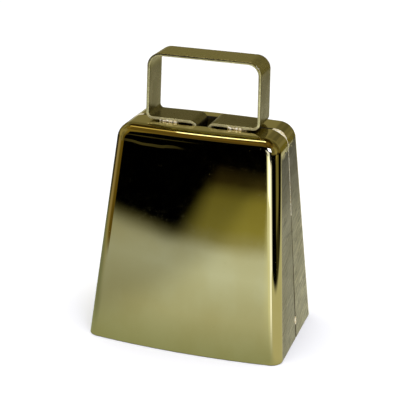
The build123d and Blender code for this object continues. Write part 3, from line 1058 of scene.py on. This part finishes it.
# How the floor on each side is mirrored, by direction in degrees from straight ahead of a corner
LEFT_CORNER = (-0.038, -0.022, 0)
LEFT_RUN = [
    (36, (0.10, 0.065, 0.008, 1)),
    (58, (0.12, 0.08, 0.012, 1)),
    (76, (0.30, 0.23, 0.12, 1)),
    (100, (0.26, 0.20, 0.11, 1)),
    (150, (0.30, 0.27, 0.20, 1)),
]
RIGHT_CORNER = (0.038, -0.022, 0)
RIGHT_RUN = [
    (20, (0.0, 0.0, 0.0, 1)),
    (74, (0.0, 0.0, 0.0, 1)),
    (84, (0.19, 0.165, 0.06, 1)),
    (104, (0.17, 0.15, 0.055, 1)),
    (112, (0.0, 0.0, 0.0, 1)),
    (179, (0.0, 0.0, 0.0, 1)),
]

# Other tones of the floor's painted glow
DARK = (0, 0, 0, 1)
FLOOR_TAN = (0.27, 0.24, 0.11, 1)
RIGHT_PALE = (0.5, 0.49, 0.38, 1)
BESIDE_NEAR = (0.5, 0.5, 0.4, 1)
BESIDE_FAR = (0.115, 0.11, 0.078, 1)
BESIDE_GOLD = (0.15, 0.125, 0.03, 1)
# Painted highlight in the floor's glow, a bright patch like a card
PAINTED_CARD_LEFT = (0.72, 0.74, 0.66, 1)
PAINTED_CARD_RIGHT = (1.3, 1.35, 1.8, 1)
# Painted shadow in the floor's glow under the bell's mouth
UNDER_BELL_SHADOW = (0.05, 0.045, 0.03, 1)

# Tones of the mirrored room
WALL = (0.165, 0.145, 0.07, 1)
WALL_LEFT = (0.22, 0.185, 0.085, 1)
DOORWAY = (0.14, 0.1, 0.02, 1)
CEILING = (0.11, 0.068, 0.015, 1)
CEILING_LEFT = (0.17, 0.115, 0.025, 1)
OVERHEAD = (0.035, 0.022, 0.003, 1)

CARD_DISTANCE = 1.5
STRIP_Y = -0.1
STRIP_Z = 1.5
STRIP_WIDTH = 0.24


def beyond(shader, start, way, softness):
    """0 on the near side of a line through start across way, 1 past it; metres."""
    way = Vector(way).normalized()
    middle = Vector(start).dot(way)
    away = shader.vector("DOT_PRODUCT", shader.place, way)
    return shader.ramp(away, middle - softness, middle + softness)


def around(shader, corner, way, tones):
    """Direction of the floor from a corner of the bell, turning from straight ahead, and its tone there."""
    offset = shader.vector("SUBTRACT", shader.place, corner)
    aside = shader.times(shader.part("X", offset), way)
    turn = shader.math("ARCTAN2", aside, shader.times(shader.part("Y", offset), -1.0))
    stops = [(degrees / 180, colour) for degrees, colour in tones]
    return turn, shader.gradient(shader.math("DIVIDE", turn, math.pi), stops)


def front_glow(shader, ahead):
    """The floor's painted glow in front: its run of tones, dimmer to the left, with a tan patch and a dark
    wedge of painted shadow there.
    """
    glow = shader.gradient(ahead, [(distance / FLOOR_FADE, colour) for distance, colour in FLOOR_RUN])
    leftward = beyond(shader, (-0.075, 0, 0), (-1, 0, 0), 0.06)
    glow = shader.blend(shader.ramp(leftward, 0, 1, 0, 0.36), glow, DARK)
    close = shader.ramp(ahead, 0.32 / FLOOR_FADE, 0.5 / FLOOR_FADE, 1.0, 0.0)
    tan = shader.times(beyond(shader, (-0.27, 0, 0), (-1, 0, 0), 0.1), close)
    glow = shader.blend(tan, glow, FLOOR_TAN)
    # painted shadow: a dark wedge in the glow, as of someone standing in front of the bell
    wedge_left = beyond(shader, (-0.2, -0.475, 0), (0.1, -1, 0), 0.11)
    wedge_right = beyond(shader, (-0.155, -0.56, 0), (-0.985, 0.17, 0), 0.04)
    return shader.blend(shader.times(wedge_left, wedge_right), glow, DARK)


def left_glow(shader, glow, reach):
    """Adds the floor far to the left, and darkens it behind the bell on that side."""
    turn, tone = around(shader, LEFT_CORNER, -1, LEFT_RUN)
    far = shader.times(shader.swing(turn, 34.3, 35.8), shader.ramp(reach, 0.28, 0.42))
    glow = shader.blend(far, glow, tone)
    to_left = beyond(shader, (0, 0, 0), (-1, 0, 0), 0.01)
    at_back = shader.times(beyond(shader, (0, 0.03, 0), (0, 1, 0), 0.04), to_left)
    return shader.blend(shader.times(at_back, shader.ramp(reach, 0.14, 0.4, 0, 0.85)), glow, DARK)


def right_glow(shader, reach, turn, tone):
    """The floor further out on the right, by its direction from the bell's right front corner."""
    near = shader.blend(shader.ramp(reach, 0.44, 0.58, 0.8, 0.0), tone, DARK)
    beside = shader.blend(shader.ramp(reach, 0.05, 0.3), BESIDE_NEAR, BESIDE_FAR)
    beside = shader.blend(shader.ramp(reach, 0.36, 0.46), beside, BESIDE_GOLD)
    behind = shader.times(beyond(shader, (0, 0, 0), (0, 1, 0), 0.02), shader.swing(turn, 144, 152))
    return shader.blend(behind, near, beside)


def right_of_card(shader, turn):
    """1 on the floor to the right of the painted bright card in its glow, and 0 elsewhere."""
    edge = beyond(shader, (0.056, -0.05, 0), (0.87, 0.49, 0), 0.012)
    nearer = beyond(shader, (0.3, -0.4, 0), (0.2, 0.98, 0), 0.05)
    return shader.times(edge, shader.most(shader.swing(turn, 28, 42), nearer))


def card_glow(shader, glow, ahead, turn, past_card):
    """Adds a painted highlight to the floor's glow: a bright patch like a card lying on the floor in front,
    to the right.
    """
    card = shader.minus(beyond(shader, (0.04, -0.15, 0), (1, -0.035, 0), 0.01), past_card)
    card = shader.times(shader.most(card, 0.0), shader.ramp(ahead, 0.03 / FLOOR_FADE, 0.22 / FLOOR_FADE))
    return shader.blend(card, glow, shader.blend(shader.swing(turn, 10, 26), PAINTED_CARD_LEFT, PAINTED_CARD_RIGHT))


def floor_glow(shader):
    """Painted glow of the floor that only the metal's mirror rays see: pale near the bell, tan and then dark
    further out.
    """
    ahead = shader.vector("DOT_PRODUCT", shader.place, (0, -1 / FLOOR_FADE, 0))
    reach = shader.vector("LENGTH", shader.place)
    turn, tone = around(shader, RIGHT_CORNER, 1, RIGHT_RUN)
    past_card = right_of_card(shader, turn)
    outer = shader.times(beyond(shader, (0.27, -0.16, 0), (0.986, 0.17, 0), 0.03), past_card)
    glow = left_glow(shader, front_glow(shader, ahead), reach)
    glow = shader.blend(past_card, glow, RIGHT_PALE)
    glow = shader.blend(outer, glow, right_glow(shader, reach, turn, tone))
    glow = card_glow(shader, glow, ahead, turn, past_card)
    # painted shadow: the glow goes dark under the bell's mouth
    squeezed = shader.vector("MULTIPLY", shader.place, (1 / MOUTH_X, 1 / MOUTH_Y, 0))
    outside_mouth = shader.ramp(shader.vector("LENGTH", squeezed), 0.85, 1.05)
    return shader.blend(outside_mouth, UNDER_BELL_SHADOW, glow)


def floor_material():
    """Pale matt floor, clear from below; what the polished metal mirrors of it is the painted glow of
    floor_glow.
    """
    material = bpy.data.materials.new("studio_floor")
    material.use_nodes = True
    shader = Nodes(material.node_tree)
    shader.place = shader.add("NewGeometry").outputs["Position"]
    tone = shader.blend(shader.noise((60, 60, 60), 3.0), grey(0.86), grey(0.9))
    matt = shader.add("BsdfDiffuse", Color=tone).outputs[0]
    mirrored = shader.add("Emission", Color=floor_glow(shader), Strength=1.0).outputs[0]
    from_above = shader.choose(shader.add("LightPath").outputs["Is Glossy Ray"], matt, mirrored)
    clear = shader.add("BsdfTransparent").outputs[0]
    from_below = shader.add("NewGeometry").outputs["Backfacing"]
    shader.add("OutputMaterial", Surface=shader.choose(from_below, from_above, clear))
    return material


def studio_floor():
    bpy.ops.mesh.primitive_grid_add(size=60, x_subdivisions=8, y_subdivisions=8, location=(0, 0, -0.0001))
    floor = bpy.context.object
    floor.name = "studio_floor"
    floor.data.materials.append(floor_material())


def room_level(shader, room, above):
    """How bright the mirrored room is in each direction, uneven as if it held some clutter."""
    across, height = shader.part("X"), shader.part("Z")
    right = shader.times(shader.ramp(across, 0.45, 0.8), shader.ramp(height, 0.02, 0.2))
    low_wall = shader.times(shader.ramp(height, 0.02, 0.04), shader.ramp(height, 0.14, 0.1))
    low_wall = shader.times(low_wall, shader.ramp(across, -0.25, -0.35, 0.0, 0.3))
    level = shader.most(shader.most(room, above), shader.most(right, low_wall))
    clutter = shader.add("TexNoise", Vector=shader.place, Scale=2.6, Detail=3.0).outputs["Fac"]
    return shader.times(level, shader.ramp(clutter, 0.35, 0.65, 0.55, 1.35))


def room_tone(shader, behind, room, above):
    """The mirrored room's colour: olive walls, a brown doorway and ceiling, and nearly black overhead."""
    across, depth, height = (shader.part(axis) for axis in "XYZ")
    tone = shader.blend(shader.ramp(across, -0.85, -0.4, 1.0, 0.0), WALL, WALL_LEFT)
    doorway = shader.times(shader.ramp(behind, -0.1, 0.1, 1.0, 0.0), room)
    tone = shader.blend(doorway, tone, DOORWAY)
    ceiling = shader.times(above, shader.ramp(depth, 0.02, 0.12, 1.0, 0.0))
    brown = shader.blend(shader.ramp(across, -0.42, -0.3), CEILING_LEFT, CEILING)
    tone = shader.blend(ceiling, tone, brown)
    overhead = shader.times(shader.ramp(height, 0.74, 0.84), shader.ramp(depth, 0.0, 0.1))
    return shader.blend(overhead, tone, OVERHEAD)


def studio_world():
    """Pale backdrop for the camera; a dark room with a few dim parts for what the metal mirrors."""
    world = bpy.data.worlds.new("studio")
    bpy.context.scene.world = world
    world.use_nodes = True
    shader = Nodes(world.node_tree)
    shader.place = shader.add("TexCoord").outputs["Generated"]
    behind = shader.vector("DOT_PRODUCT", shader.place, (-0.643, 0.766, 0))
    room = shader.ramp(behind, -0.27, -0.22)
    above = shader.ramp(shader.part("Z"), 0.58, 0.68)
    tone, level = room_tone(shader, behind, room, above), room_level(shader, room, above)
    dim = shader.add("Background", Color=tone, Strength=level).outputs[0]
    pale = shader.add("Background", Color=grey(0.9), Strength=1.0).outputs[0]
    mirror_ray = shader.add("LightPath").outputs["Is Glossy Ray"]
    shader.add("OutputWorld", Surface=shader.choose(mirror_ray, pale, dim))


def softbox(name, centre, target, width, height, power, mirrored=True):
    """A rectangular soft light."""
    light = bpy.data.lights.new(name, "AREA")
    light.shape = "RECTANGLE"
    light.size, light.size_y = width, height
    light.energy = power
    lamp = bpy.data.objects.new(name, light)
    lamp.location = centre
    lamp.rotation_euler = (Vector(target) - Vector(centre)).to_track_quat("-Z", "Y").to_euler()
    lamp.visible_camera = False
    lamp.visible_glossy = mirrored
    bpy.context.scene.collection.objects.link(lamp)
    return lamp


def mirrored_card(name, azimuth, elevation, width, height, brightness, colour):
    """A soft light that the metal mirrors, by its direction and size in degrees from the bell."""
    a, e = math.radians(azimuth), math.radians(elevation)
    way = Vector((math.sin(a) * math.cos(e), -math.cos(a) * math.cos(e), math.sin(e)))
    wide, high = (2 * CARD_DISTANCE * math.tan(math.radians(size) / 2) for size in (width, height))
    lamp = softbox(name, CARD_DISTANCE * way, (0, 0, 0.05), wide, high, math.pi * wide * high * brightness)
    lamp.data.color = colour


def strip_light(name, middle, length, brightness, colour):
    """A narrow soft light high over the bell, running left to right, that the rounded top edge mirrors."""
    centre, target = (middle, STRIP_Y, STRIP_Z), (middle, STRIP_Y, 0)
    lamp = softbox(name, centre, target, length, STRIP_WIDTH, math.pi * length * STRIP_WIDTH * brightness)
    lamp.rotation_euler = (0, 0, 0)
    lamp.data.color = colour


def studio_lights():
    softbox("overhead", (0.2, -0.3, 1.6), (0, 0, 0), 1.6, 1.6, 14, mirrored=False)
    mirrored_card("edge_card", 15, 8, 17, 20, 0.95, (0.95, 1, 1.45))
    strip_light("zenith_strip_right", -0.17, 0.66, 2.4, (1, 0.96, 0.78))
    strip_light("zenith_strip_left", -0.7, 0.4, 0.55, (1, 0.78, 0.3))
    mirrored_card("corner_glint", 33, 29, 18, 16, 3.0, (0.9, 1, 2.2))
    mirrored_card("side_card", 86, 20, 16, 50, 0.14, (1, 0.85, 0.4))


def camera_at(azimuth, elevation, roll, distance, target, lens):
    """The camera, by its direction from a target point; angles in degrees."""
    a, e, r = (math.radians(v) for v in (azimuth, elevation, roll))
    back = Vector((math.sin(a) * math.cos(e), -math.cos(a) * math.cos(e), math.sin(e)))
    right = Vector((math.cos(a), math.sin(a), 0))
    up = back.cross(right)
    turned = right * math.cos(r) + up * math.sin(r)
    upward = up * math.cos(r) - right * math.sin(r)
    data = bpy.data.cameras.new("camera")
    data.lens = lens
    data.sensor_width = 36.0
    data.clip_start = 0.01
    camera = bpy.data.objects.new("camera", data)
    pose = Matrix((turned, upward, back)).transposed().to_4x4()
    pose.translation = Vector(target) + back * distance
    camera.matrix_world = pose
    bpy.context.scene.collection.objects.link(camera)
    bpy.context.scene.camera = camera


studio_floor()
studio_world()
studio_lights()
camera_at(
    azimuth=17.38,
    elevation=20.44,
    roll=1.53,
    distance=0.53389,
    target=(-0.00197, 0, 0.05963),
    lens=106.95,
)
bpy.context.scene.view_settings.view_transform = "Standard"
